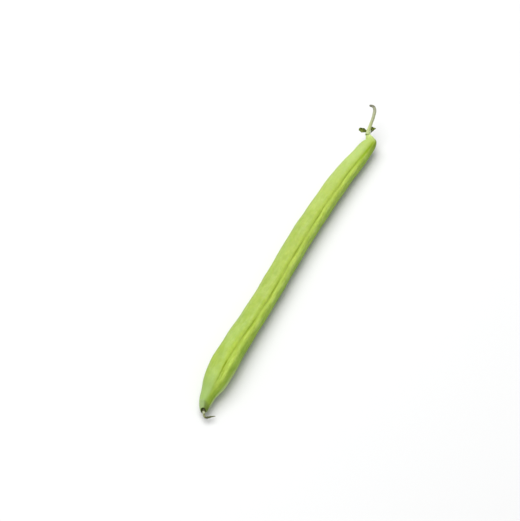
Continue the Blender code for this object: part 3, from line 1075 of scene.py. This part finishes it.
print("the calyx has", len(calyx.data.polygons), "faces")


# %% [markdown]
# The calyx is a paler green than the pod, veined with darker fibres and dotted with small brown
# specks, and its rim is darker: its teeth have begun to dry, and painted shade darkens it where it
# meets the neck. That darkening was stored when the rim was drawn, so the colour follows the teeth.

# %% The calyx's skin
calyx_skin, tree, shader, place, blotch, fibre = start_skin("calyx_green", 1100.0, 4.0, 4500.0, 6.0)
speck = effect(SPECKS, place, Specks_per_metre=2200.0, Size=0.32, Share=0.3)
colour = mix_colour(blotch, rgb(0.44, 0.53, 0.19), rgb(0.6, 0.66, 0.36))
colour = glaze(colour, rgb(0.22, 0.31, 0.06), 0.6, fibre)
colour = glaze(colour, rgb(0.22, 0.16, 0.05), 0.5, speck)
# the rim: dried teeth, and painted shade where the rim meets the neck
colour = glaze(colour, rgb(0.24, 0.3, 0.07), 0.50, fade(attribute(tree, "dry_and_painted_shade"), 0.30, 0.95))
dress(shader, colour, fade(blotch, 0, 1, 0.5, 0.62), fibre, 0.5, 0.05 * MM)
calyx.data.materials.append(calyx_skin)
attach(calyx, "root")
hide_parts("calyx")
print("the calyx's skin takes", len(tree.nodes), "nodes")

# %% [markdown]
# ## The two withered bracts
# Beside the calyx sat two tiny leaves, the bracts. On a picked bean they are dry: dark, folded along
# the middle and curled at the edges. Each one starts as a flat grid of the leaf's length and width.
# Its outline is drawn in with a formula, and it is then folded, curled and wrinkled point by point,
# as with a sculpting brush, because no single operator gives that shape.

# %% A helper that shapes a withered leaf
BRACT_FOLD = 0.25
BRACT_WALL = 0.16


def withered_leaf(name, start, end, across, width, widest, curl, dry_and_painted_shade):
    """A small dry leaf from start to end, blunt at both ends, folded along its middle and curled."""
    start, end = (STALK_END + Vector(p) * MM for p in (start, end))
    length = (end - start).length
    swell = math.log(0.5) / math.log(widest)
    pick_nothing()
    bpy.ops.mesh.primitive_grid_add(x_subdivisions=14, y_subdivisions=8, size=1.0)
    leaf = named(name)
    edges = []
    for point in leaf.data.vertices:
        # part runs from 0 to 1 along the leaf, and aside from -1 to 1 across it
        part, aside = point.co.x + 0.5, point.co.y * 2
        outline = math.sin(math.pi * (0.03 + 0.94 * part) ** swell) ** 0.5
        half = 0.5 * width * MM * outline * (1 + 0.12 * math.sin(11 * part + 2 * aside))
        # darker along the edges, most along one side, and at the foot: partly dry tissue, partly painted
        # shade
        edges.append(max(-aside, abs(aside) ** 2 * 0.7, 1.05 - 1.5 * part) + dry_and_painted_shade)
        point.co.x = part * length
        point.co.y = aside * half
        # its height: the fold, then the curl, then the wrinkles
        point.co.z = abs(aside) ** 1.3 * half * BRACT_FOLD
        point.co.z += length * 0.12 * curl * (part - 0.4) ** 2 * 4
        point.co.z += 0.10 * MM * math.sin(9 * part + 5 * aside + curl)
    new_attribute(leaf.data, "edge", edges)
    lay(leaf, start, end - start, Vector(across))
    add_modifier(leaf, "SOLIDIFY", thickness=BRACT_WALL * MM, offset=0)
    add_modifier(leaf, "SUBSURF", levels=2, render_levels=2)
    crumple(leaf, size=0.55 * MM, strength=0.16 * MM)
    smooth_shade(leaf)
    return leaf


# %% [markdown]
# Both bracts have the same skin: a dark olive with paler blotches, darkest along its edges, most
# along one of them, and at its foot, partly where the leaf is driest and partly as painted shade. It
# is the roughest skin of the bean, with the deepest bump.

# %% The bracts' skin
withered, tree, shader, place, blotch, fibre = start_skin("withered_leaf", 1300.0, 5.0, 6000.0, 4.0)
colour = mix_colour(blotch, rgb(0.095, 0.12, 0.012), rgb(0.24, 0.3, 0.055))
# darkest where the edge number is high: dry tissue and painted shade
edge = sway(attribute(tree, "edge"), blotch, -0.5)
colour = mix_colour(fade(edge, 0.35, 0.95), colour, rgb(0.06, 0.08, 0.008))
colour = glaze(colour, rgb(0.05, 0.06, 0.012), 0.35, fibre)
height = maths("ADD", fibre, blotch)
dress(shader, colour, fade(blotch, 0, 1, 0.62, 0.85), height, 0.7, 0.08 * MM)
shader.inputs["Specular IOR Level"].default_value = 0.12
print("the bracts' skin takes", len(tree.nodes), "nodes")

# %% [markdown]
# The left bract stands up beside the stalk and shows its broad side. The right one lies along the
# other side of the stalk and shows its edge. The same helper makes both, each with its own numbers.

# %% The bracts
# start and end as steps from the pod's stalk end in mm, which way the leaf's breadth lies, how
# wide it is, at which part of its length it is widest, how much it is curled and how much darker it
# is, by drying and by painted shade
BRACTS = {
    "left": ((0.30, 0.95, 0.60), (-0.42, 4.00, 1.00), (-0.70, -0.35, -0.55), 1.95, 0.52, 0.5, 0.0),
    "right": ((0.75, -0.98, 0.02), (3.43, -1.05, 0.90), (-0.10, 0.90, -0.10), 2.25, 0.80, -0.4, 0.28),
}
for which, numbers in BRACTS.items():
    leaf = withered_leaf(which + "_bract", *numbers)
    leaf.data.materials.append(withered)
    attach(leaf, "root")
    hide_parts("bract_" + which)
    print(leaf.name, "has", len(leaf.data.polygons), "faces")

# %% [markdown]
# ## The dried style
# At the other end the pod narrows to the flower's style, which has dried and broken off. What is left
# is a short core that stands out of the hollow, pale where it broke, and a thin dark thread that
# hangs from it and curls round. Both are stems, drawn like the stalk.

# %% The dried style
TIP_END = Vector((-75.49, 0.17, 3.35)) * MM
# steps from there to each point, and the half thickness, in mm
CORE_ROUTE = (
    ((0.50, -0.35, -0.10), 0.56), ((0.15, -0.50, -0.22), 0.60), ((-0.20, -0.70, -0.36), 0.62),
    ((-0.52, -0.82, -0.42), 0.60), ((-0.80, -0.90, -0.36), 0.54), ((-0.92, -0.92, -0.30), 0.38),
    ((-0.96, -0.92, -0.27), 0.08),
)
THREAD_ROUTE = (
    ((-0.20, -0.72, -0.66), 0.30), ((-0.55, -0.80, -1.00), 0.34), ((-0.95, -0.92, -1.18), 0.36),
    ((-1.35, -1.15, -1.15), 0.36), ((-1.78, -1.60, -1.06), 0.36), ((-1.95, -2.40, -1.06), 0.38),
    ((-1.29, -3.09, -1.15), 0.34), ((-0.46, -3.84, -1.30), 0.26), ((0.20, -4.75, -1.39), 0.16),
    ((0.34, -4.95, -1.40), 0.05),
)


def style_stem(name, route):
    """One lumpy stem of the dried style, with its place along the route kept for the colours."""
    steps = [(TIP_END + Vector(step) * MM, radius * MM) for step, radius in route]
    stem = draw_stem(name, steps, ribs=4, rib_height=0.10, sides=20)
    add_modifier(stem, "SUBSURF", levels=1, render_levels=1)
    mark_along(stem, steps)
    crumple(stem, size=0.6 * MM, strength=0.14 * MM)
    smooth_shade(stem)
    print(name, "has", len(stem.data.polygons), "faces")
    return stem


core = style_stem("style_core", CORE_ROUTE)
thread = style_stem("style_thread", THREAD_ROUTE)

# %% [markdown]
# The core is nearly black in the hollow and pale yellow where it broke. The thread is straw-coloured
# at its root, then dark, then paler towards its thin end. Both are the same recipe with other stops.

# %% The dried style's skins
def style_skin(name, stops, fibre_colour):
    """Dry tissue whose colour follows the stem through (place, colour) stops."""
    material, tree, shader, place, blotch, fibre = start_skin(name, 1500.0, 4.0, 7000.0, 4.0)
    colour = colour_ramp(sway(attribute(tree, "along"), blotch, 0.12), stops)
    colour = glaze(colour, fibre_colour, 0.4, fibre)
    dress(shader, colour, fade(blotch, 0, 1, 0.6, 0.8), fibre, 0.6, 0.05 * MM)
    print(name, "has a skin of", len(tree.nodes), "nodes")
    return material


core.data.materials.append(style_skin("style_core", (
    (0.30, rgb(0.045, 0.052, 0.012)), (0.66, rgb(0.08, 0.09, 0.03)), (0.84, rgb(0.62, 0.68, 0.43)),
), rgb(0.2, 0.18, 0.08)))
thread.data.materials.append(style_skin("style_thread", (
    (0.10, rgb(0.3, 0.315, 0.14)), (0.32, rgb(0.26, 0.275, 0.12)), (0.46, rgb(0.075, 0.085, 0.024)),
    (0.70, rgb(0.11, 0.12, 0.04)), (0.95, rgb(0.18, 0.195, 0.08)),
), rgb(0.06, 0.055, 0.02)))
for stem in (core, thread):
    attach(stem, "root")
    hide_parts("style")
